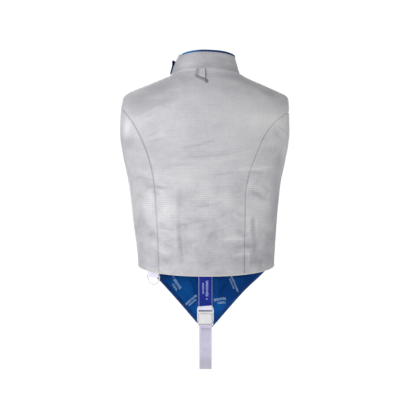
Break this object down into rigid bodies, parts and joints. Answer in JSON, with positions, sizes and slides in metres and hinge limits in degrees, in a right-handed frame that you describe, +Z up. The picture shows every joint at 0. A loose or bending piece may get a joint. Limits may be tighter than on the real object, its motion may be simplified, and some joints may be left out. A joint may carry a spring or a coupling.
{
  "type": "fencing lame",
  "caption": "Sleeveless metallic-cloth fencing vest in its hollow worn form, with stand collar, back D-ring, lined front apron and buckled crotch strap",
  "frame": {"origin": "between the wearer's shoulders, in the middle of the neck opening at the height of its side points, where the wearer holds the vest up", "axes": "+Z up along the wearer's spine, the front faces -Y, the wearer's left is +X"},
  "size_m": [0.381, 0.2574, 0.7388],
  "materials": {
    "silver_cloth": "silver-grey metallic woven cloth with a soft sheen",
    "blue_lining": "smooth blue lining cloth with a light repeat print",
    "navy_band": "matt navy folded band",
    "cream_binding": "matt cream rolled binding",
    "zip_tape": "matt grey zip tape and nylon chain",
    "steel": "bright nickel-plated steel",
    "white_webbing": "white webbing",
    "printed_webbing": "purple-blue printed webbing with lighter selvedges",
    "plain_webbing": "pale lavender-white webbing",
    "white_plastic": "moulded white plastic"
  },
  "bodies": {
    "garment": {"back_center": "silver_cloth", "back_side_left": "silver_cloth", "back_side_right": "silver_cloth", "front_left": "silver_cloth", "front_right": "silver_cloth", "collar": "silver_cloth", "collar_flap": "silver_cloth", "nape_loop": "silver_cloth", "front_lining_left": "blue_lining", "front_lining_right": "blue_lining", "collar_lining": "blue_lining", "edge_band_left": "navy_band", "edge_band_right": "navy_band", "flap_binding": "navy_band", "hem_binding": "cream_binding", "zip": "zip_tape", "zip_slider": "steel", "ring_tab": "white_webbing", "strap_printed": "printed_webbing", "strap_plain": "plain_webbing", "buckle_male": "white_plastic", "buckle_female": "white_plastic"},
    "ring": {"d_ring": "steel"},
    "pull": {"zip_pull": "steel"}
  },
  "joints": [
    {"name": "ring_swing", "type": "hinge", "parent": "garment", "child": "ring", "pos_m": [0.11802, 0.06849, -0.4527], "axis": [0.7699, -0.6381, 0], "range_deg": [-90, 110]},
    {"name": "pull_lift", "type": "hinge", "parent": "garment", "child": "pull", "pos_m": [0.05623, -0.0613, -0.03741], "axis": [-0.9774, -0.1778, 0.1141], "range_deg": [0, 150]}
  ]
}
